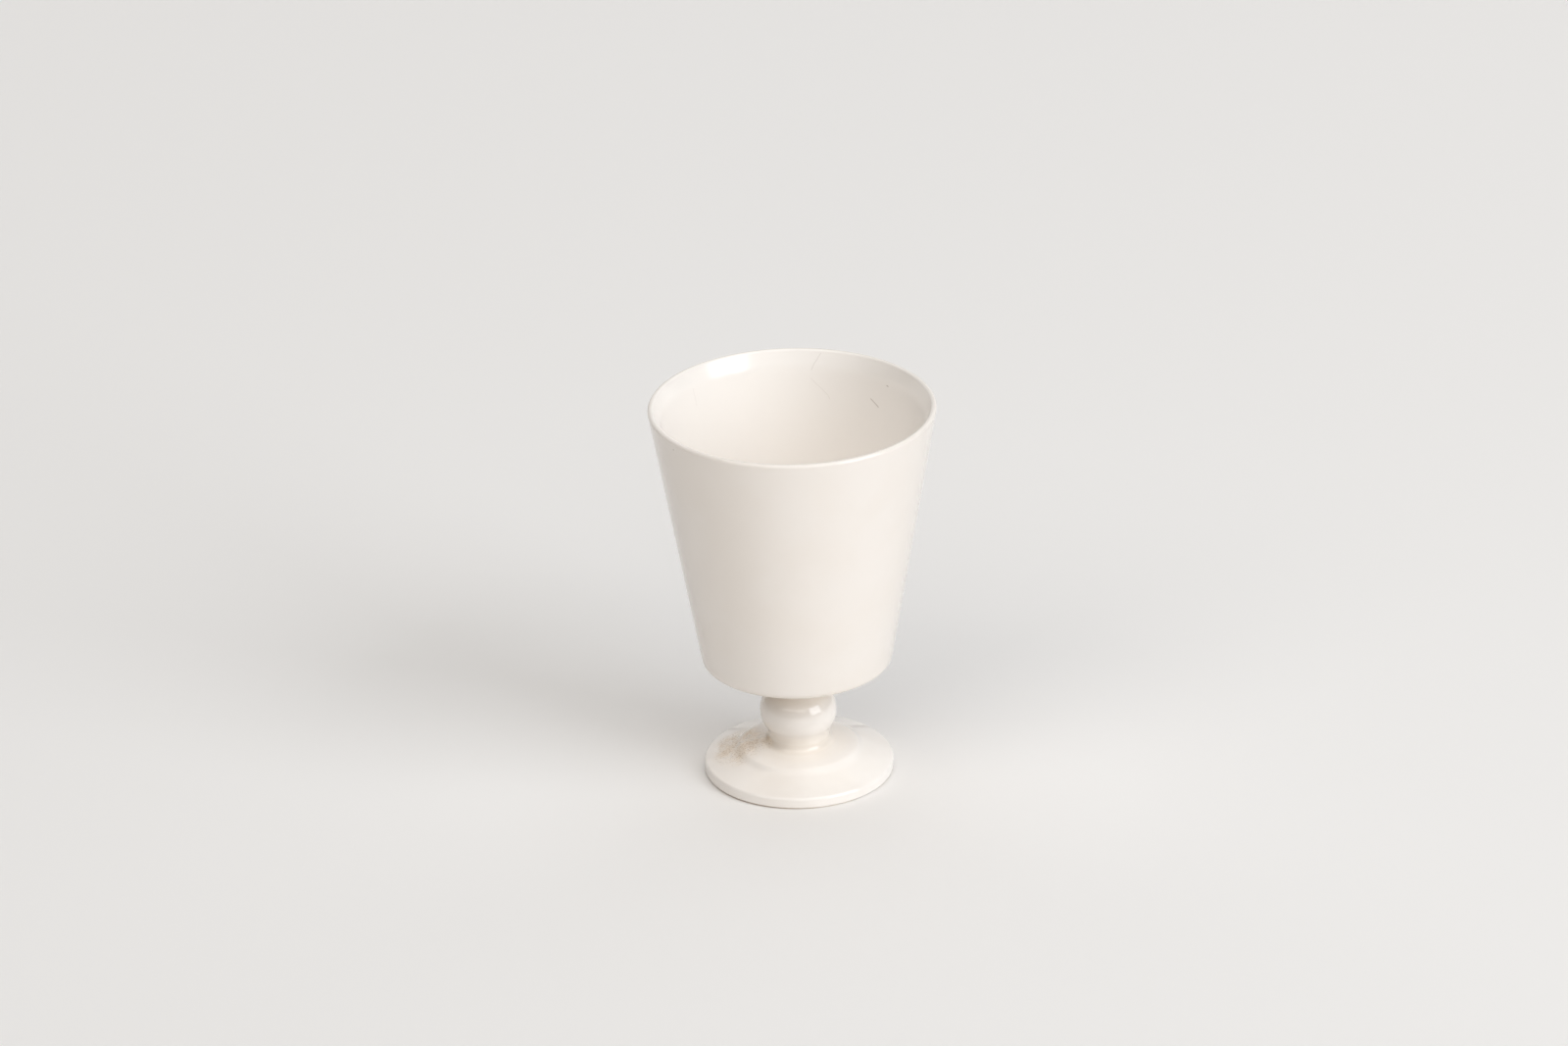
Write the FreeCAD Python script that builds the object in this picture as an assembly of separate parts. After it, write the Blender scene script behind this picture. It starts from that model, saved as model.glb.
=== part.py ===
import FreeCAD
import Part

import math
import os

# A cream-glazed earthenware wine cup: a tapered bowl on a turned knop and a stepped, spreading foot.
#
# The cup is made as its potter makes it. Bowl, knop and foot are turned one by one, rings are scored into
# their seats, and a thin layer of clay slip lutes each pair of seats together and keys into both pieces.
#
# The origin is at the middle of the foot, on the surface that the cup stands on, with +Z up. Sizes are in
# millimetres. Each outline is half a section, and its points are (distance from the axis, height).

CUP_HEIGHT = 115.0

# Bowl: a straight tapered wall between a round lip and a crisp lower corner, thinned inside under the lip.
RIM_RADIUS = 41.05
LIP_THICKNESS = 1.7
BEVEL_HEIGHT = 4.6
BEVEL_WALL = 2.8
BEVEL_ROUNDING = 9.0
BOWL_BASE_RADIUS = 27.4
BOWL_BASE_RISE = 4.7
BOWL_CORNER_RADIUS = 2.2
BOWL_WALL_AT_BASE = 3.0
BOWL_SEAT_STEP = 0.7
BOWL_SEAT_FILLET = 0.6
FLOOR_THICKNESS = 5.6
FLOOR_CORNER_RADIUS = 8.0

# Knop: one round bulge that runs through a hollow into the waist below it, and through another into the
# neck above it, which flares out to the seat of the bowl.
KNOP_RADIUS = 11.15
KNOP_CURVE = 8.3
WAIST_HOLLOW = 5.0
NECK_RADIUS = 7.4
NECK_HOLLOW = 3.2
UPPER_SEAT_RADIUS = 9.4

# Foot: a plain edge, a sloping plate, a soft raised step and a tight sweep up to a narrow waist.
FOOT_RADIUS = 27.45
FOOT_EDGE_HEIGHT = 3.3
FOOT_ARRIS_RADIUS = 1.0
FOOT_BOTTOM_RADIUS = 0.8
STEP_RADIUS = 18.6
STEP_HEIGHT = 7.1
STEP_WIDTH = 1.7
STEP_DROP = 1.1
STEP_ROUNDING = 3.5
PLATE_FILLET = 6.0
SWEEP_HEIGHT = 9.0
SWEEP_RADIUS = 2.0
WAIST_RADIUS = 8.9
WAIST_HEIGHT = 11.0

# Underside of the foot: a flat standing ring round a shallow recess.
STANDING_RING_WIDTH = 3.6
RECESS_DEPTH = 2.2
RECESS_DRAFT = 1.2
RECESS_FILLET = 1.2
RING_INNER_ROUNDING = 0.5

# Luted seats: the layer of slip, and the rings scored into the two faces that it joins.
SLIP_THICKNESS = 0.4
SCORE_DEPTH = 0.3
SCORE_RING_SHARES = (0.34, 0.58, 0.82)

AXIS_FOOT = FreeCAD.Vector(0, 0, 0)
AXIS_UP = FreeCAD.Vector(0, 0, 1)


def point(radius, height):
    """A point of an outline."""
    return FreeCAD.Vector(radius, 0, height)


def rounded(before, corner, after, radius):
    """The arc, as three points, that rounds the corner between two straight stretches."""
    to_before = (before - corner).normalize()
    to_after = (after - corner).normalize()
    half_angle = to_before.getAngle(to_after) / 2
    to_centre = (to_before + to_after).normalize()
    centre = corner + to_centre * (radius / math.sin(half_angle))
    reach = radius / math.tan(half_angle)
    return corner + to_before * reach, centre - to_centre * radius, corner + to_after * reach


def above(centre, radius, reach):
    """The point at a radius that lies higher than a centre and a reach away from it."""
    return point(radius, centre.z + math.sqrt(reach ** 2 - (radius - centre.x) ** 2))


def toward(centre, other, reach):
    """The point that lies a reach away from a centre, on the way to another point."""
    return centre + (other - centre).normalize() * reach


def touching(start, centre, radius, side):
    """Where a line from start touches a circle: on its outer side for side 1, on its inner side for -1."""
    way = centre - start
    bearing = math.atan2(way.z, way.x) - side * math.asin(radius / way.Length)
    reach = math.sqrt(way.Length ** 2 - radius ** 2)
    return start + point(math.cos(bearing), math.sin(bearing)) * reach


def scored_face(radius, height, key):
    """Points of a flat seat from the axis out. Its rings stand up by key, or are cut in where key is negative."""
    points = [point(0, height)]
    half_width = abs(key)
    for share in SCORE_RING_SHARES:
        ring = share * radius
        points.append(point(ring - half_width, height))
        points.append(point(ring, height + key))
        points.append(point(ring + half_width, height))
    points.append(point(radius, height))
    return points


def turned(outline):
    """The solid that an outline sweeps out. Each entry of an outline is one point, or the three of an arc."""
    stretches = [entry if isinstance(entry, tuple) else (entry,) for entry in outline]
    edges = []
    last = stretches[-1][-1]
    for stretch in stretches:
        if last != stretch[0]:
            edges.append(Part.LineSegment(last, stretch[0]).toShape())
        if len(stretch) == 3:
            edges.append(Part.Arc(*stretch).toShape())
        last = stretch[-1]
    return Part.Face(Part.Wire(edges)).revolve(AXIS_FOOT, AXIS_UP, 360)


# The stack of pieces, from the table up, with the centres of the three arcs that run into each other.
KNOP_BOTTOM = WAIST_HEIGHT + SLIP_THICKNESS
WAIST_CENTRE = point(WAIST_RADIUS + WAIST_HOLLOW, KNOP_BOTTOM)
KNOP_CENTRE = above(WAIST_CENTRE, KNOP_RADIUS - KNOP_CURVE, KNOP_CURVE + WAIST_HOLLOW)
NECK_CENTRE = above(KNOP_CENTRE, NECK_RADIUS + NECK_HOLLOW, KNOP_CURVE + NECK_HOLLOW)
KNOP_TOP = above(NECK_CENTRE, UPPER_SEAT_RADIUS, NECK_HOLLOW).z
BOWL_SEAT = KNOP_TOP + SLIP_THICKNESS


def make_bowl():
    """The bowl, from its scored seat out along the underside, up the wall, over the lip and down inside."""
    base_height = BOWL_SEAT + BOWL_BASE_RISE
    floor_height = BOWL_SEAT + FLOOR_THICKNESS
    lip_radius = LIP_THICKNESS / 2
    lip_centre = point(RIM_RADIUS - lip_radius, CUP_HEIGHT - lip_radius)

    seat_corner = point(UPPER_SEAT_RADIUS, BOWL_SEAT + BOWL_SEAT_STEP)
    base_corner = point(BOWL_BASE_RADIUS, base_height)
    outer_top = touching(base_corner, lip_centre, lip_radius, 1)
    outer_way = (outer_top - base_corner) / (outer_top.z - base_corner.z)
    bevel_rise = CUP_HEIGHT - BEVEL_HEIGHT - base_height
    bevel_foot = base_corner + outer_way * bevel_rise - point(BEVEL_WALL, 0)
    inner_top = touching(bevel_foot, lip_centre, lip_radius, -1)
    wall_foot = base_corner - point(BOWL_WALL_AT_BASE, 0)
    inner_way = (bevel_foot - wall_foot) / bevel_rise
    floor_corner = wall_foot + inner_way * (floor_height - base_height)
    floor_middle = point(0, floor_height)

    seat = scored_face(UPPER_SEAT_RADIUS, BOWL_SEAT, SCORE_DEPTH)
    return turned(seat + [
        rounded(seat[-1], seat_corner, base_corner, BOWL_SEAT_FILLET),
        rounded(seat_corner, base_corner, outer_top, BOWL_CORNER_RADIUS),
        (outer_top, lip_centre + point(0, lip_radius), inner_top),
        rounded(inner_top, bevel_foot, floor_corner, BEVEL_ROUNDING),
        rounded(bevel_foot, floor_corner, floor_middle, FLOOR_CORNER_RADIUS),
        floor_middle,
    ])


def make_knop():
    """The knop, from its scored lower seat over the bulge and up the neck to its scored upper seat."""
    lower_seat = scored_face(WAIST_RADIUS, KNOP_BOTTOM, SCORE_DEPTH)
    upper_seat = scored_face(UPPER_SEAT_RADIUS, KNOP_TOP, -SCORE_DEPTH)
    bulge_start = toward(KNOP_CENTRE, WAIST_CENTRE, KNOP_CURVE)
    bulge_end = toward(KNOP_CENTRE, NECK_CENTRE, KNOP_CURVE)
    waist_middle = toward(WAIST_CENTRE, (lower_seat[-1] + bulge_start) / 2, WAIST_HOLLOW)
    return turned(lower_seat[:-1] + [
        (lower_seat[-1], waist_middle, bulge_start),
        (bulge_start, KNOP_CENTRE + point(KNOP_CURVE, 0), bulge_end),
        (bulge_end, NECK_CENTRE - point(NECK_HOLLOW, 0), upper_seat[-1]),
    ] + upper_seat[-2::-1])


def make_foot():
    """The foot, from the middle of its recess over the standing ring, the edge, the plate and the step."""
    recess_middle = point(0, RECESS_DEPTH)
    ring_inner = point(FOOT_RADIUS - STANDING_RING_WIDTH, 0)
    recess_corner = ring_inner + point(-RECESS_DRAFT, RECESS_DEPTH)
    ring_outer = point(FOOT_RADIUS, 0)
    edge_top = point(FOOT_RADIUS, FOOT_EDGE_HEIGHT)
    step_edge = point(STEP_RADIUS, STEP_HEIGHT)
    plate_end = step_edge + point(STEP_WIDTH, -STEP_DROP)
    sweep_corner = point(WAIST_RADIUS, SWEEP_HEIGHT)
    seat = scored_face(WAIST_RADIUS, WAIST_HEIGHT, -SCORE_DEPTH)
    return turned([
        recess_middle,
        rounded(recess_middle, recess_corner, ring_inner, RECESS_FILLET),
        rounded(recess_corner, ring_inner, ring_outer, RING_INNER_ROUNDING),
        rounded(ring_inner, ring_outer, edge_top, FOOT_BOTTOM_RADIUS),
        rounded(ring_outer, edge_top, plate_end, FOOT_ARRIS_RADIUS),
        rounded(edge_top, plate_end, step_edge, PLATE_FILLET),
        rounded(plate_end, step_edge, sweep_corner, STEP_ROUNDING),
        rounded(step_edge, sweep_corner, seat[-1], SWEEP_RADIUS),
    ] + seat[::-1])


def make_slip(radius, height):
    """One layer of slip that fills the scored rings of the seat below it and of the seat above it."""
    below = scored_face(radius, height, -SCORE_DEPTH)
    above = scored_face(radius, height + SLIP_THICKNESS, SCORE_DEPTH)
    return turned(below + above[::-1])


pieces = {
    "foot": make_foot(),
    "lower_slip": make_slip(WAIST_RADIUS, WAIST_HEIGHT),
    "stem_knop": make_knop(),
    "upper_slip": make_slip(UPPER_SEAT_RADIUS, KNOP_TOP),
    "bowl": make_bowl(),
}

os.makedirs("parts", exist_ok=True)
for name, shape in pieces.items():
    shape.exportStep(f"parts/{name}.step")
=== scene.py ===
import math

import bmesh
import bpy
from mathutils import Matrix, Vector


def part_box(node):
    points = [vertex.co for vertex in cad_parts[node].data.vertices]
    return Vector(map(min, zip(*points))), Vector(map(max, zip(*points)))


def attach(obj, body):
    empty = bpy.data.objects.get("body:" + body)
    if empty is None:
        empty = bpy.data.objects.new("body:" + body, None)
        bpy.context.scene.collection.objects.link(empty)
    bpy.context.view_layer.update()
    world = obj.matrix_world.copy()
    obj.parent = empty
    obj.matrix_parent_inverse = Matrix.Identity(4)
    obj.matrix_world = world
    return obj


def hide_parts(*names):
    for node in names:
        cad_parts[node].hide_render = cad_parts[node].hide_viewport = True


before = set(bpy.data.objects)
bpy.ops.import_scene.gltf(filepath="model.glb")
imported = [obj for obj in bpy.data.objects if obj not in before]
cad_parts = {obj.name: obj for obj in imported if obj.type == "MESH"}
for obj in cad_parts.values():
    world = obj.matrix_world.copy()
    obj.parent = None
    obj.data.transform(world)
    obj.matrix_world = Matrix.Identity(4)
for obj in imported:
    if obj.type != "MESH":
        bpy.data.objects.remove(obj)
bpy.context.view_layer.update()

MM = 0.001

# Sizes read from the frame: the heights where the pieces meet, and their radii
CUP_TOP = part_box("bowl")[1].z
BOWL_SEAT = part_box("bowl")[0].z
KNOP_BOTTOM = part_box("stem_knop")[0].z
KNOP_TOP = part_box("stem_knop")[1].z
WAIST_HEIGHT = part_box("foot")[1].z
RIM_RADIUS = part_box("bowl")[1].x
KNOP_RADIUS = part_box("stem_knop")[1].x
FOOT_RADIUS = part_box("foot")[1].x
WAIST_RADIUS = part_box("lower_slip")[1].x
UPPER_SEAT_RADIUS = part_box("upper_slip")[1].x
CUP_MIDDLE = Vector((0, 0, CUP_TOP / 2))

# Bowl
LIP_THICKNESS = 1.7 * MM
BEVEL_HEIGHT = 4.6 * MM
BEVEL_WALL = 2.8 * MM
BEVEL_ROUNDING = 9.0 * MM
BOWL_BASE_RADIUS = 27.4 * MM
BOWL_BASE_RISE = 4.7 * MM
BOWL_CORNER_RADIUS = 2.2 * MM
BOWL_WALL_AT_BASE = 3.0 * MM
BOWL_SEAT_STEP = 0.7 * MM
BOWL_SEAT_FILLET = 0.6 * MM
FLOOR_THICKNESS = 5.6 * MM
FLOOR_CORNER_RADIUS = 8.0 * MM
BOWL_BASE = BOWL_SEAT + BOWL_BASE_RISE
BOWL_FLOOR = BOWL_SEAT + FLOOR_THICKNESS

# Knop
KNOP_CURVE = 8.3 * MM
WAIST_HOLLOW = 5.0 * MM
NECK_RADIUS = 7.4 * MM
NECK_HOLLOW = 3.2 * MM

# Foot
FOOT_EDGE_HEIGHT = 3.3 * MM
FOOT_ARRIS_RADIUS = 1.0 * MM
FOOT_BOTTOM_RADIUS = 0.8 * MM
STEP_RADIUS = 16.9 * MM
STEP_HEIGHT = 7.7 * MM
STEP_WIDTH = 1.7 * MM
STEP_DROP = 1.4 * MM
STEP_ROUNDING = 2.2 * MM
PLATE_FILLET = 4.5 * MM
SWEEP_HEIGHT = 9.0 * MM
SWEEP_RADIUS = 2.0 * MM
STANDING_RING_WIDTH = 3.6 * MM
RECESS_DEPTH = 2.2 * MM
RECESS_DRAFT = 1.2 * MM
RECESS_FILLET = 1.2 * MM
RING_INNER_ROUNDING = 0.5 * MM

# Glaze: its mottle is from cream to white on the knop and the foot, and from deep to light outside the bowl
GLAZE_IOR = 1.6
GLAZE_ROUGHNESS = 0.045
INSIDE_ROUGHNESS = 0.20
GLAZE_WHITE = (0.962, 0.920, 0.876)
GLAZE_CREAM = (0.905, 0.855, 0.805)
GLAZE_LIGHT = (0.887, 0.832, 0.778)
GLAZE_DEEP = (0.875, 0.815, 0.755)
MOTTLE_SCALE = 45
MOTTLE_DETAIL = 3
MOTTLE_EDGE = (0.35, 0.65)

# Rings from the lathe, and the slow waves of a glaze that has run
RING_SCALE = 650
RING_DETAIL = 2
RING_DEPTH_ON_BOWL = 0.010 * MM
RING_DEPTH_ON_STEM = 0.016 * MM
RING_DEPTH_ON_FOOT = 0.012 * MM
RUN_SCALE = 110
RUN_DETAIL = 1
RUN_EDGE = (0.45, 0.8)
RUN_DEPTH = 0.03 * MM
RUN_ROUGHNESS = 2 * GLAZE_ROUGHNESS

# Pooled glaze, with painted shade under the bowl, at the neck, round the waist and inside the step: how
# strongly it shows, and how far from a joint or an edge it starts or is full
POOLED_GLAZE_AND_SHADE = (0.790, 0.675, 0.530)
POOL_IN_BOWL = 0.25
POOL_AND_SHADE_UNDER_BOWL = 0.4
POOL_AND_SHADE_AT_NECK = 0.28
POOL_AND_SHADE_AT_NECK_START = 11 * MM
POOL_AND_SHADE_AT_NECK_FULL = 3 * MM
POOL_AND_SHADE_AT_WAIST = 0.3
POOL_AND_SHADE_AT_WAIST_START = 4.5 * MM
POOL_AND_SHADE_ON_FOOT = 0.3
POOL_AND_SHADE_ON_FOOT_START = 2.5 * MM
POOL_AND_SHADE_INSIDE_STEP = 0.12
POOL_AND_SHADE_INSIDE_STEP_START = 1 * MM
POOL_AND_SHADE_INSIDE_STEP_FULL = 5 * MM

# Iron specks: one in each cell of about a spacing, but for the share of cells that stay free
SPECK_BROWN = (0.22, 0.15, 0.10)
SPECK_STRENGTH = 0.6
SPECK_CORE_SHARE = 0.6
SPECK_FREE_SHARE = 0.7
SPECKS_ON_BOWL = dict(spacing=11 * MM, radius=0.28 * MM)
SPECKS_ON_STEM = dict(spacing=5 * MM, radius=0.22 * MM)
SPECKS_ON_FOOT = dict(spacing=10 * MM, radius=0.25 * MM)

# Fine marks inside the bowl, on its wall rolled out flat: start, end and strength
HAIRLINES = (
    ((6.7 * MM, 0, 109.5 * MM), (9.2 * MM, 0, 114.0 * MM), 0.14),
    ((6.8 * MM, 0, 106.9 * MM), (12.5 * MM, 0, 101.3 * MM), 0.08),
    ((27.7 * MM, 0, 103.7 * MM), (31.4 * MM, 0, 102.0 * MM), 0.35),
    ((34.2 * MM, 0, 109.1 * MM), (34.8 * MM, 0, 109.0 * MM), 0.45),
    ((-35.3 * MM, 0, 109.7 * MM), (-35.2 * MM, 0, 104.7 * MM), 0.07),
)
HAIRLINE_WIDTH = 0.2 * MM
HAIRLINE_WAVE_SCALE = 180
HAIRLINE_WAVE_DETAIL = 1
HAIRLINE_SWAY = 2.5 * MM
NOISE_MIDDLE = 0.5

# Dust on the left of the foot: a stain in clouds, and grains that gather in the clouds
DUST_ON_PLATE = (-17.5 * MM, 1.5 * MM, 6.5 * MM)
DUST_ON_PLATE_REACH = (12 * MM, 16 * MM, 8 * MM)
DUST_ON_PLATE_EDGE = (0, 0.6)
DUST_ON_PLATE_SHARE = 0.75
DUST_AT_WAIST = (-9.5 * MM, 0, 10 * MM)
DUST_AT_WAIST_REACH = (6 * MM, 9 * MM, 4 * MM)
CLOUD_COLOUR = (0.80, 0.56, 0.28)
CLOUD_STRENGTH = 0.36
CLOUD_SCALE = 260
CLOUD_DETAIL = 4
CLOUD_EDGE = (0.2, 0.65)
# the dust grains' colour, which also darkens the painted contact shadow under the foot
DUST_AND_SHADOW_COLOUR = (0.36, 0.22, 0.11)
GRAIN_STRENGTH = 0.45
GRAIN_SCALE = 2200
GRAIN_DETAIL = 2
GRAIN_EDGE = (0.58, 0.80)
GRAIN_GATHERING = 0.22
GRAIN_MARGIN = (0, 0.3)
GRAIN_HEIGHT = 0.03 * MM

# Under the foot, bare clay where the glaze is worn off or the kiln left a scar, and a line of painted contact
# shadow. Wear and the painted shadow start below one height and are full below another.
BARE_CLAY = (0.78, 0.69, 0.56)
DRY_ROUGHNESS = 0.65
WEAR_SCALE = 220
WEAR_DETAIL = 4
WEAR_EDGE = (0.35, 0.5)
WEAR_START = 0.5 * MM
WEAR_FULL = WEAR_START / 3
CONTACT_SHADOW_STRENGTH = 0.8
CONTACT_SHADOW_START = 0.8 * FOOT_BOTTOM_RADIUS
CONTACT_SHADOW_FULL = 0.3 * FOOT_BOTTOM_RADIUS
SCARS = 3
SCAR_CIRCLE = 15 * MM
SCAR_RADIUS = 1.6 * MM
SCAR_EDGE = (0.2, 0.6)
SCAR_DEPTH = 0.15 * MM

# Camera, fitted to the rim, the wall and the foot in the photograph
PHOTO_WIDTH = 1600
PHOTO_HEIGHT = 1067
CAMERA_ELEVATION = math.radians(25.88)
CAMERA_DISTANCE = 1.901
CAMERA_ROLL = math.radians(1.2)
FOCAL_PIXELS = 6751
SENSOR_WIDTH = 36
CUP_MIDDLE_PIXEL = (812.0, 599.6)
CLIP_START = 0.1
CLIP_END = 30

# Light: angles in degrees right of the camera and above the floor, sizes in metres
KEY = dict(azimuth=55, elevation=28, distance=2.8, size=(1.68, 2.15), radiance=4.50)
FRONT = dict(azimuth=-15, elevation=48, distance=6.0, size=(8.4, 3.8), radiance=2.01)
OVERHEAD = dict(azimuth=0, elevation=90, distance=4.0, size=(3.6, 3.6), radiance=0.83)
BACK = dict(azimuth=180, elevation=33, distance=1.9, size=(4.6, 2.5), radiance=0.65)
KEY_COLOUR = (0.940, 0.968, 1.0)
FRONT_COLOUR = (1.0, 0.968, 0.920)
PLAIN_WHITE = (1, 1, 1)
SKY_STRENGTH = 0.04
BACKGROUND_STRENGTH = 0.80
FLOOR_COLOUR = (0.870, 0.854, 0.839)
FLOOR_ROUGHNESS = 0.7
FLOOR_HALF = 6.0

# Mesh
SEGMENTS = 288
ARC_STEP = math.radians(6)
FEWEST_ARC_STEPS = 2
SHARP_ANGLE = math.radians(30)
LONGEST_STRETCH = 1.2 * MM


def at(radius, height):
    """A point of an outline, which is half a section."""
    return Vector((radius, height))


def arc(centre, start, end):
    """Points of the shorter arc round a centre from start to end."""
    first = start - centre
    sweep = first.angle_signed(end - centre)
    steps = max(FEWEST_ARC_STEPS, math.ceil(abs(sweep) / ARC_STEP))
    points = []
    for step in range(steps + 1):
        turn = Matrix.Rotation(-sweep * step / steps, 2)
        points.append(centre + turn @ first)
    return points


def rounded(before, corner, after, radius):
    """Points of the arc that rounds the corner between two straight stretches."""
    to_before = (before - corner).normalized()
    to_after = (after - corner).normalized()
    half_angle = to_before.angle(to_after) / 2
    to_centre = (to_before + to_after).normalized()
    centre = corner + to_centre * (radius / math.sin(half_angle))
    reach = radius / math.tan(half_angle)
    return arc(centre, corner + to_before * reach, corner + to_after * reach)


def above(centre, radius, reach):
    """The point at a radius that lies higher than a centre and a reach away from it."""
    return at(radius, centre.y + math.sqrt(reach ** 2 - (radius - centre.x) ** 2))


def toward(centre, other, reach):
    """The point that lies a reach away from a centre, on the way to another point."""
    return centre + (other - centre).normalized() * reach


def touching(start, centre, radius, side):
    """Where a line from start touches a circle: on its outer side for side 1, on its inner side for -1."""
    way = centre - start
    bearing = math.atan2(way.y, way.x) - side * math.asin(radius / way.length)
    reach = math.sqrt(way.length ** 2 - radius ** 2)
    return start + at(math.cos(bearing), math.sin(bearing)) * reach


def bowl_outline():
    """The bowl, from its seat out along the underside, up the wall, over the lip and down inside."""
    lip_radius = LIP_THICKNESS / 2
    lip_centre = at(RIM_RADIUS - lip_radius, CUP_TOP - lip_radius)
    lip_top = lip_centre + at(0, lip_radius)
    seat_edge = at(UPPER_SEAT_RADIUS, BOWL_SEAT)
    seat_corner = seat_edge + at(0, BOWL_SEAT_STEP)
    base_corner = at(BOWL_BASE_RADIUS, BOWL_BASE)
    outer_top = touching(base_corner, lip_centre, lip_radius, 1)
    outer_way = (outer_top - base_corner) / (outer_top.y - base_corner.y)
    bevel_rise = CUP_TOP - BEVEL_HEIGHT - BOWL_BASE
    bevel_foot = base_corner + outer_way * bevel_rise - at(BEVEL_WALL, 0)
    inner_top = touching(bevel_foot, lip_centre, lip_radius, -1)
    wall_foot = base_corner - at(BOWL_WALL_AT_BASE, 0)
    inner_way = (bevel_foot - wall_foot) / bevel_rise
    floor_corner = wall_foot + inner_way * (BOWL_FLOOR - BOWL_BASE)
    floor_middle = at(0, BOWL_FLOOR)
    return [
        at(0, BOWL_SEAT), seat_edge,
        *rounded(seat_edge, seat_corner, base_corner, BOWL_SEAT_FILLET),
        *rounded(seat_corner, base_corner, outer_top, BOWL_CORNER_RADIUS),
        *arc(lip_centre, outer_top, lip_top), *arc(lip_centre, lip_top, inner_top)[1:],
        *rounded(inner_top, bevel_foot, floor_corner, BEVEL_ROUNDING),
        *rounded(bevel_foot, floor_corner, floor_middle, FLOOR_CORNER_RADIUS),
        floor_middle,
    ]


def knop_outline():
    """The knop, from its lower seat over the bulge and up the neck to its upper seat."""
    waist_centre = at(WAIST_RADIUS + WAIST_HOLLOW, KNOP_BOTTOM)
    knop_centre = above(waist_centre, KNOP_RADIUS - KNOP_CURVE, KNOP_CURVE + WAIST_HOLLOW)
    neck_centre = above(knop_centre, NECK_RADIUS + NECK_HOLLOW, KNOP_CURVE + NECK_HOLLOW)
    bulge_start = toward(knop_centre, waist_centre, KNOP_CURVE)
    bulge_end = toward(knop_centre, neck_centre, KNOP_CURVE)
    seat_edge = at(UPPER_SEAT_RADIUS, KNOP_TOP)
    return [
        at(0, KNOP_BOTTOM),
        *arc(waist_centre, at(WAIST_RADIUS, KNOP_BOTTOM), bulge_start),
        *arc(knop_centre, bulge_start, bulge_end)[1:],
        *arc(neck_centre, bulge_end, seat_edge)[1:],
        at(0, KNOP_TOP),
    ]


def foot_outline():
    """The foot, from the middle of its recess over the standing ring, the edge, the plate and the step."""
    recess_middle = at(0, RECESS_DEPTH)
    ring_inner = at(FOOT_RADIUS - STANDING_RING_WIDTH, 0)
    recess_corner = ring_inner + at(-RECESS_DRAFT, RECESS_DEPTH)
    ring_outer = at(FOOT_RADIUS, 0)
    edge_top = at(FOOT_RADIUS, FOOT_EDGE_HEIGHT)
    step_edge = at(STEP_RADIUS, STEP_HEIGHT)
    plate_end = step_edge + at(STEP_WIDTH, -STEP_DROP)
    sweep_corner = at(WAIST_RADIUS, SWEEP_HEIGHT)
    waist = at(WAIST_RADIUS, WAIST_HEIGHT)
    return [
        recess_middle,
        *rounded(recess_middle, recess_corner, ring_inner, RECESS_FILLET),
        *rounded(recess_corner, ring_inner, ring_outer, RING_INNER_ROUNDING),
        *rounded(ring_inner, ring_outer, edge_top, FOOT_BOTTOM_RADIUS),
        *rounded(ring_outer, edge_top, plate_end, FOOT_ARRIS_RADIUS),
        *rounded(edge_top, plate_end, step_edge, PLATE_FILLET),
        *rounded(plate_end, step_edge, sweep_corner, STEP_ROUNDING),
        *rounded(step_edge, sweep_corner, waist, SWEEP_RADIUS),
        waist, at(0, WAIST_HEIGHT),
    ]


def slip_outline(radius, low, high):
    """A flat layer of slip between two heights."""
    return [at(0, low), at(radius, low), at(radius, high), at(0, high)]


def divided(outline):
    """The same outline with points added, so that no stretch is longer than the mesh's longest."""
    points = [outline[0]]
    for start, end in zip(outline, outline[1:]):
        pieces = max(1, math.ceil((end - start).length / LONGEST_STRETCH))
        for step in range(1, pieces + 1):
            points.append(start.lerp(end, step / pieces))
    return points


def turned(name, outline, node, material):
    """A smooth piece turned from half a section, from one point on the axis to another."""
    mesh = bpy.data.meshes.new(name)
    shape = bmesh.new()
    points = divided(outline)
    first = shape.verts.new((0, 0, points[0].y))
    last = shape.verts.new((0, 0, points[-1].y))
    rings = []
    for radius, height in points[1:-1]:
        ring = []
        for step in range(SEGMENTS):
            angle = 2 * math.pi * step / SEGMENTS
            ring.append(shape.verts.new((radius * math.cos(angle), radius * math.sin(angle), height)))
        rings.append(ring)
    for step in range(SEGMENTS):
        after = (step + 1) % SEGMENTS
        shape.faces.new((first, rings[0][after], rings[0][step]))
        shape.faces.new((last, rings[-1][step], rings[-1][after]))
        for low, high in zip(rings, rings[1:]):
            shape.faces.new((low[step], low[after], high[after], high[step]))
    bmesh.ops.recalc_face_normals(shape, faces=shape.faces)
    for face in shape.faces:
        face.smooth = True
    for edge in shape.edges:
        edge.smooth = edge.calc_face_angle() < SHARP_ANGLE
    shape.to_mesh(mesh)
    shape.free()
    piece = bpy.data.objects.new(name, mesh)
    bpy.context.scene.collection.objects.link(piece)
    piece.data.materials.append(material)
    weighted = piece.modifiers.new("weighted normals", "WEIGHTED_NORMAL")
    weighted.keep_sharp = True
    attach(piece, "root")
    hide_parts(node)


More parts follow.
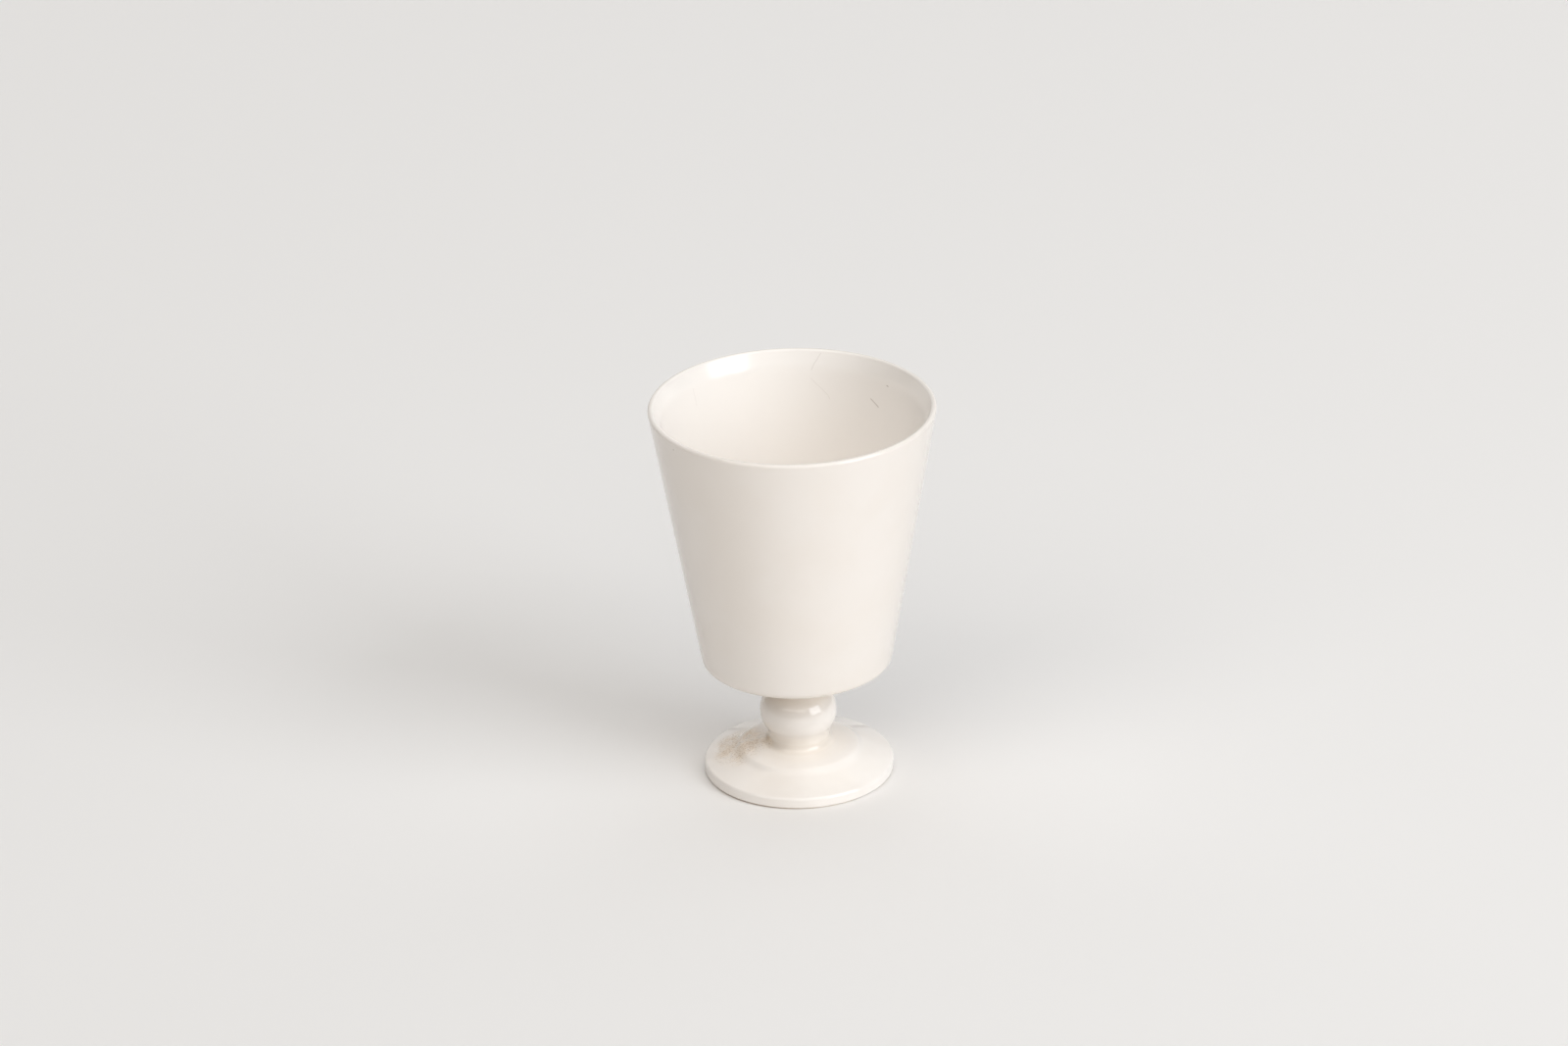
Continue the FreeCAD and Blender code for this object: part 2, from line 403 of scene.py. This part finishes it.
class Glaze:
    """A cream glaze whose colour, roughness and relief are built up layer by layer."""

    def __init__(self, name, light, deep):
        self.material = bpy.data.materials.new(name)
        self.material.use_nodes = True
        self.tree = self.material.node_tree
        self.shader = self.tree.nodes["Principled BSDF"]
        self.shader.inputs["IOR"].default_value = GLAZE_IOR
        self.place = self.node("TexCoord").outputs["Object"]
        parts = self.node("SeparateXYZ", Vector=self.place)
        self.across = parts.outputs["X"]
        self.depth = parts.outputs["Y"]
        self.height = parts.outputs["Z"]
        flat = self.node("CombineXYZ", X=self.across, Y=self.depth)
        self.radius = self.node("VectorMath", "LENGTH", Vector=flat.outputs["Vector"]).outputs["Value"]
        self.profile = self.node("CombineXYZ", X=self.radius, Z=self.height).outputs["Vector"]
        self.roughness = GLAZE_ROUGHNESS
        self.normal = None
        mottle = self.step(self.noise(MOTTLE_SCALE, MOTTLE_DETAIL), *MOTTLE_EDGE)
        self.colour = self.mix("Color", mottle, (*deep, 1), (*light, 1))

    def node(self, kind, operation=None, **inputs):
        """A new node, whose inputs get values or links."""
        node = self.tree.nodes.new("ShaderNode" + kind)
        if operation:
            node.operation = operation
        for name, value in inputs.items():
            self.put(node.inputs[name.replace("_", " ")], value)
        return node

    def put(self, socket, value):
        """Gives an input its value, or links it to another node's output."""
        if isinstance(value, bpy.types.NodeSocket):
            self.tree.links.new(value, socket)
        else:
            socket.default_value = value

    def math(self, operation, first, second):
        node = self.node("Math", operation)
        self.put(node.inputs[0], first)
        self.put(node.inputs[1], second)
        return node.outputs["Value"]

    def mix(self, kind, mask, below, top):
        """A colour or a number that turns from below to top where the mask is 1."""
        node = self.node("Mix")
        node.data_type = {"Color": "RGBA", "Float": "FLOAT"}[kind]
        sockets = {socket.identifier: socket for socket in node.inputs}
        self.put(sockets["Factor_Float"], mask)
        self.put(sockets["A_" + kind], below)
        self.put(sockets["B_" + kind], top)
        return next(socket for socket in node.outputs if socket.identifier == "Result_" + kind)

    def noise(self, scale, detail, vector=None):
        """Soft random values from 0 to 1."""
        return self.node("TexNoise", Vector=vector or self.place, Scale=scale, Detail=detail).outputs[0]

    def step(self, value, low, high):
        """A soft step from 0 at low to 1 at high, which may be the lower of the two."""
        node = self.node("MapRange", Value=value, From_Min=low, From_Max=high)
        node.interpolation_type = "SMOOTHSTEP"
        return node.outputs["Result"]

    def both(self, first, second):
        """A mask that is 1 where both masks are."""
        return self.math("MULTIPLY", first, second)

    def spot(self, centre, reach):
        """A mask that fades from 1 at a centre to 0 at its edge; the reach is a radius along each axis."""
        away = self.node("VectorMath", "SUBTRACT")
        self.put(away.inputs[0], self.place)
        self.put(away.inputs[1], centre)
        scaled = self.node("VectorMath", "DIVIDE")
        self.put(scaled.inputs[0], away.outputs["Vector"])
        self.put(scaled.inputs[1], reach)
        length = self.node("VectorMath", "LENGTH", Vector=scaled.outputs["Vector"])
        return self.step(length.outputs["Value"], 1, 0)

    def unrolled(self, radius, sway):
        """Coordinates on a wall rolled out flat: along it from straight behind, with a sway, and up."""
        angle = self.math("ARCTAN2", self.across, self.depth)
        along = self.math("ADD", self.math("MULTIPLY", angle, radius), sway)
        return self.node("CombineXYZ", X=along, Z=self.height).outputs["Vector"]

    def line(self, vector, start, end, width):
        """A mask that is 1 along the straight way from start to end."""
        way = Vector(end) - Vector(start)
        away = self.node("VectorMath", "SUBTRACT")
        self.put(away.inputs[0], vector)
        self.put(away.inputs[1], start)
        along = self.node("VectorMath", "DOT_PRODUCT")
        self.put(along.inputs[0], away.outputs["Vector"])
        self.put(along.inputs[1], way / way.length_squared)
        share = self.math("MINIMUM", self.math("MAXIMUM", along.outputs["Value"], 0), 1)
        nearest = self.node("VectorMath", "SCALE", Scale=share)
        self.put(nearest.inputs[0], way)
        gap = self.node("VectorMath", "DISTANCE")
        self.put(gap.inputs[0], away.outputs["Vector"])
        self.put(gap.inputs[1], nearest.outputs["Vector"])
        return self.step(gap.outputs["Value"], width, width / 2)

    def tint(self, colour, mask, strength=1):
        """Turns the glaze toward a colour where the mask is 1."""
        mask = self.math("MULTIPLY", mask, strength)
        self.colour = self.mix("Color", mask, self.colour, (*colour, 1))

    def roughen(self, roughness, mask):
        """Gives the glaze another roughness where the mask is 1."""
        self.roughness = self.mix("Float", mask, self.roughness, roughness)

    def relief(self, form, depth):
        """Raises the surface by the depth where the form is 1."""
        bump = self.node("Bump", Height=form, Distance=depth)
        if self.normal:
            self.put(bump.inputs["Normal"], self.normal)
        self.normal = bump.outputs["Normal"]

    def turning_lines(self, depth):
        """Faint rings from the lathe, and the slow waves of a glaze that has run."""
        self.relief(self.noise(RING_SCALE, RING_DETAIL, self.profile), depth)
        runs = self.noise(RUN_SCALE, RUN_DETAIL)
        self.relief(runs, RUN_DEPTH)
        self.roughen(RUN_ROUGHNESS, self.step(runs, *RUN_EDGE))

    def specks(self, spacing, radius):
        """Small dark specks of iron in the glaze, darkest in their core."""
        cells = self.node("TexVoronoi", Vector=self.place, Scale=1 / spacing)
        dots = self.step(cells.outputs["Distance"], radius / spacing, SPECK_CORE_SHARE * radius / spacing)
        chance = self.node("SeparateColor", Color=cells.outputs["Color"]).outputs["Red"]
        chosen = self.math("GREATER_THAN", chance, SPECK_FREE_SHARE)
        self.tint(SPECK_BROWN, self.both(dots, chosen), SPECK_STRENGTH)

    def finish(self):
        """The material, with all its layers linked to the shader."""
        self.put(self.shader.inputs["Base Color"], self.colour)
        self.put(self.shader.inputs["Roughness"], self.roughness)
        self.put(self.shader.inputs["Normal"], self.normal)
        return self.material


def inside_bowl(glaze):
    """A mask that is 1 inside the bowl and turns to 0 over the middle of its lip."""
    taper = (RIM_RADIUS - BOWL_BASE_RADIUS) / (CUP_TOP - BOWL_BASE)
    middle = BOWL_BASE_RADIUS - LIP_THICKNESS / 2 - taper * BOWL_BASE
    straightened = glaze.math("SUBTRACT", glaze.radius, glaze.math("MULTIPLY", glaze.height, taper))
    wall = glaze.step(straightened, middle, middle - LIP_THICKNESS / 2)
    return glaze.both(wall, glaze.step(glaze.height, BOWL_BASE, BOWL_FLOOR))


def bowl_glaze():
    """The bowl's glaze, whiter inside, deeper where it has run together in the inside corner, and darker
    under the bowl with pooled glaze and painted shade.
    """
    glaze = Glaze("bowl_glaze", GLAZE_LIGHT, GLAZE_DEEP)
    inside = inside_bowl(glaze)
    corner = glaze.step(glaze.height, BOWL_FLOOR + FLOOR_CORNER_RADIUS, BOWL_FLOOR)
    underside = glaze.step(glaze.height, BOWL_BASE + BOWL_CORNER_RADIUS, BOWL_BASE - BOWL_CORNER_RADIUS)
    glaze.turning_lines(RING_DEPTH_ON_BOWL)
    glaze.tint(GLAZE_WHITE, inside)
    glaze.roughen(INSIDE_ROUGHNESS, inside)
    glaze.tint(POOLED_GLAZE_AND_SHADE, glaze.both(inside, corner), POOL_IN_BOWL)
    # pooled glaze and painted shade: the bowl's underside is darkened, where shade falls under the bowl
    glaze.tint(POOLED_GLAZE_AND_SHADE, underside, POOL_AND_SHADE_UNDER_BOWL)
    glaze.specks(**SPECKS_ON_BOWL)
    waves = glaze.noise(HAIRLINE_WAVE_SCALE, HAIRLINE_WAVE_DETAIL)
    sway = glaze.math("SUBTRACT", waves, NOISE_MIDDLE)
    wall = glaze.unrolled(RIM_RADIUS, glaze.math("MULTIPLY", sway, HAIRLINE_SWAY))
    for start, end, strength in HAIRLINES:
        line = glaze.line(wall, start, end, HAIRLINE_WIDTH)
        glaze.tint(SPECK_BROWN, glaze.both(inside, line), strength)
    return glaze.finish()


def stem_glaze(name):
    """The glaze of the knop and of the two luted joints, darker in the waist and under the bowl with pooled
    glaze and painted shade.
    """
    glaze = Glaze(name, GLAZE_WHITE, GLAZE_CREAM)
    # pooled glaze and painted shade: the knop is darker just above the waist
    waist = glaze.step(glaze.height, KNOP_BOTTOM + POOL_AND_SHADE_AT_WAIST_START, KNOP_BOTTOM)
    glaze.tint(POOLED_GLAZE_AND_SHADE, waist, POOL_AND_SHADE_AT_WAIST)
    # pooled glaze and painted shade: the neck is darker and warmer under the bowl
    neck = glaze.step(glaze.height, KNOP_TOP - POOL_AND_SHADE_AT_NECK_START, KNOP_TOP - POOL_AND_SHADE_AT_NECK_FULL)
    glaze.tint(POOLED_GLAZE_AND_SHADE, neck, POOL_AND_SHADE_AT_NECK)
    glaze.turning_lines(RING_DEPTH_ON_STEM)
    glaze.specks(**SPECKS_ON_STEM)
    return glaze.finish()


def foot_glaze():
    """The foot's glaze: pooled glaze and painted shade round the waist and inside the step, dusty on one
    side, worn underneath, and with a painted contact shadow.
    """
    glaze = Glaze("foot_glaze", GLAZE_WHITE, GLAZE_CREAM)
    start = STEP_RADIUS - POOL_AND_SHADE_INSIDE_STEP_START
    full = STEP_RADIUS - POOL_AND_SHADE_INSIDE_STEP_FULL
    upper = glaze.step(glaze.height, RECESS_DEPTH, FOOT_EDGE_HEIGHT)
    waist = glaze.step(glaze.radius, WAIST_RADIUS + POOL_AND_SHADE_ON_FOOT_START, WAIST_RADIUS)
    hollow = glaze.step(glaze.radius, start, full)
    # pooled glaze and painted shade: darker in the hollow inside the step and round the waist
    glaze.tint(POOLED_GLAZE_AND_SHADE, glaze.both(upper, hollow), POOL_AND_SHADE_INSIDE_STEP)
    glaze.tint(POOLED_GLAZE_AND_SHADE, glaze.both(upper, waist), POOL_AND_SHADE_ON_FOOT)
    glaze.turning_lines(RING_DEPTH_ON_FOOT)
    glaze.specks(**SPECKS_ON_FOOT)
    dusty_side(glaze, upper)
    worn_and_shadowed_underside(glaze)
    kiln_scars(glaze)
    return glaze.finish()


def dusty_side(glaze, upper):
    """Brown dust that has stuck to the glaze on the left of the foot, thickest beside the waist."""
    plate = glaze.step(glaze.spot(DUST_ON_PLATE, DUST_ON_PLATE_REACH), *DUST_ON_PLATE_EDGE)
    waist = glaze.spot(DUST_AT_WAIST, DUST_AT_WAIST_REACH)
    patch = glaze.math("MAXIMUM", glaze.math("MULTIPLY", plate, DUST_ON_PLATE_SHARE), waist)
    density = glaze.both(upper, patch)
    clouds = glaze.both(density, glaze.step(glaze.noise(CLOUD_SCALE, CLOUD_DETAIL), *CLOUD_EDGE))
    glaze.tint(CLOUD_COLOUR, clouds, CLOUD_STRENGTH)
    grains = glaze.noise(GRAIN_SCALE, GRAIN_DETAIL)
    gathered = glaze.math("ADD", grains, glaze.math("MULTIPLY", clouds, GRAIN_GATHERING))
    dust = glaze.both(glaze.step(gathered, *GRAIN_EDGE), glaze.step(density, *GRAIN_MARGIN))
    glaze.tint(DUST_AND_SHADOW_COLOUR, dust, GRAIN_STRENGTH)
    glaze.roughen(DRY_ROUGHNESS, clouds)
    glaze.relief(dust, GRAIN_HEIGHT)


def worn_and_shadowed_underside(glaze):
    """Glaze worn off the standing ring, and a line of painted contact shadow round its left half."""
    low = glaze.step(glaze.height, WEAR_START, WEAR_FULL)
    worn = glaze.both(low, glaze.step(glaze.noise(WEAR_SCALE, WEAR_DETAIL), *WEAR_EDGE))
    glaze.tint(BARE_CLAY, worn)
    glaze.roughen(DRY_ROUGHNESS, worn)
    # painted contact shadow: darkened along the bottom edge on the left, where the foot meets the floor
    left = glaze.step(glaze.across, FOOT_RADIUS / 2, -FOOT_RADIUS / 2)
    edge = glaze.step(glaze.radius, FOOT_RADIUS - 2 * FOOT_BOTTOM_RADIUS, FOOT_RADIUS - FOOT_BOTTOM_RADIUS)
    line = glaze.step(glaze.height, CONTACT_SHADOW_START, CONTACT_SHADOW_FULL)
    glaze.tint(DUST_AND_SHADOW_COLOUR, glaze.both(left, glaze.both(edge, line)), CONTACT_SHADOW_STRENGTH)


def kiln_scars(glaze):
    """Small bare scars in the recess, where the foot stood in the kiln."""
    for turn in range(SCARS):
        angle = 2 * math.pi * turn / SCARS
        centre = (SCAR_CIRCLE * math.cos(angle), SCAR_CIRCLE * math.sin(angle), RECESS_DEPTH)
        scar = glaze.step(glaze.spot(centre, (SCAR_RADIUS,) * 3), *SCAR_EDGE)
        glaze.tint(BARE_CLAY, scar)
        glaze.roughen(DRY_ROUGHNESS, scar)
        glaze.relief(scar, SCAR_DEPTH)


def make_floor():
    """A plain pale floor."""
    mesh = bpy.data.meshes.new("floor")
    near, far = -FLOOR_HALF, FLOOR_HALF
    mesh.from_pydata([(near, near, 0), (far, near, 0), (far, far, 0), (near, far, 0)], [], [(0, 1, 2, 3)])
    floor = bpy.data.objects.new("floor", mesh)
    bpy.context.scene.collection.objects.link(floor)
    material = bpy.data.materials.new("pale_floor")
    material.use_nodes = True
    shader = material.node_tree.nodes["Principled BSDF"]
    shader.inputs["Base Color"].default_value = (*FLOOR_COLOUR, 1)
    shader.inputs["Roughness"].default_value = FLOOR_ROUGHNESS
    floor.data.materials.append(material)


def make_camera():
    """The camera, turned so that the cup's middle falls on its pixel of the photograph."""
    data = bpy.data.cameras.new("camera")
    data.sensor_width = SENSOR_WIDTH
    data.lens = FOCAL_PIXELS / PHOTO_WIDTH * SENSOR_WIDTH
    data.clip_start = CLIP_START
    data.clip_end = CLIP_END
    camera = bpy.data.objects.new("camera", data)
    bpy.context.scene.collection.objects.link(camera)
    back = Vector((0, -math.cos(CAMERA_ELEVATION), math.sin(CAMERA_ELEVATION)))
    right = Vector((1, 0, 0))
    up = back.cross(right)
    facing = Matrix((right, up, back)).transposed()
    across = CUP_MIDDLE_PIXEL[0] - PHOTO_WIDTH / 2
    down = CUP_MIDDLE_PIXEL[1] - PHOTO_HEIGHT / 2
    yaw = Matrix.Rotation(math.atan2(across, FOCAL_PIXELS), 3, "Y")
    pitch = Matrix.Rotation(math.atan2(down, math.hypot(FOCAL_PIXELS, across)), 3, "X")
    turn = Matrix.Rotation(-CAMERA_ROLL, 3, "Z") @ pitch @ yaw
    place = Matrix.Translation(CUP_MIDDLE + back * CAMERA_DISTANCE)
    camera.matrix_world = place @ (facing @ turn).to_4x4()
    bpy.context.scene.camera = camera


def make_panel(name, colour, azimuth, elevation, distance, size, radiance):
    """A soft panel that faces the cup."""
    data = bpy.data.lights.new(name, "AREA")
    data.shape = "RECTANGLE"
    data.size, data.size_y = size
    data.energy = radiance * math.pi * size[0] * size[1]
    data.color = colour
    panel = bpy.data.objects.new(name, data)
    bpy.context.scene.collection.objects.link(panel)
    side = math.radians(azimuth)
    rise = math.radians(elevation)
    way = Vector((math.sin(side) * math.cos(rise), -math.cos(side) * math.cos(rise), math.sin(rise)))
    panel.location = CUP_MIDDLE + way * distance
    panel.rotation_mode = "QUATERNION"
    panel.rotation_quaternion = way.to_track_quat("Z", "Y")


def make_world():
    """A dim room, whose walls are pale where the camera sees them."""
    world = bpy.data.worlds.new("studio")
    bpy.context.scene.world = world
    world.use_nodes = True
    nodes = world.node_tree.nodes
    links = world.node_tree.links
    background = nodes["Background"]
    background.inputs["Color"].default_value = (*PLAIN_WHITE, 1)
    paths = nodes.new("ShaderNodeLightPath")
    strength = nodes.new("ShaderNodeMapRange")
    strength.inputs["To Min"].default_value = SKY_STRENGTH
    strength.inputs["To Max"].default_value = BACKGROUND_STRENGTH
    links.new(paths.outputs["Is Camera Ray"], strength.inputs["Value"])
    links.new(strength.outputs["Result"], background.inputs["Strength"])


bpy.context.scene.view_settings.view_transform = "Standard"
make_camera()
make_panel("key", KEY_COLOUR, **KEY)
make_panel("front", FRONT_COLOUR, **FRONT)
make_panel("overhead", PLAIN_WHITE, **OVERHEAD)
make_panel("back", PLAIN_WHITE, **BACK)
make_world()
make_floor()

upper_joint = slip_outline(UPPER_SEAT_RADIUS, KNOP_TOP, BOWL_SEAT)
lower_joint = slip_outline(WAIST_RADIUS, WAIST_HEIGHT, KNOP_BOTTOM)
turned("turned_bowl", bowl_outline(), "bowl", bowl_glaze())
turned("upper_luting", upper_joint, "upper_slip", stem_glaze("upper_joint_glaze"))
turned("turned_knop", knop_outline(), "stem_knop", stem_glaze("knop_glaze"))
turned("lower_luting", lower_joint, "lower_slip", stem_glaze("lower_joint_glaze"))
turned("turned_foot", foot_outline(), "foot", foot_glaze())
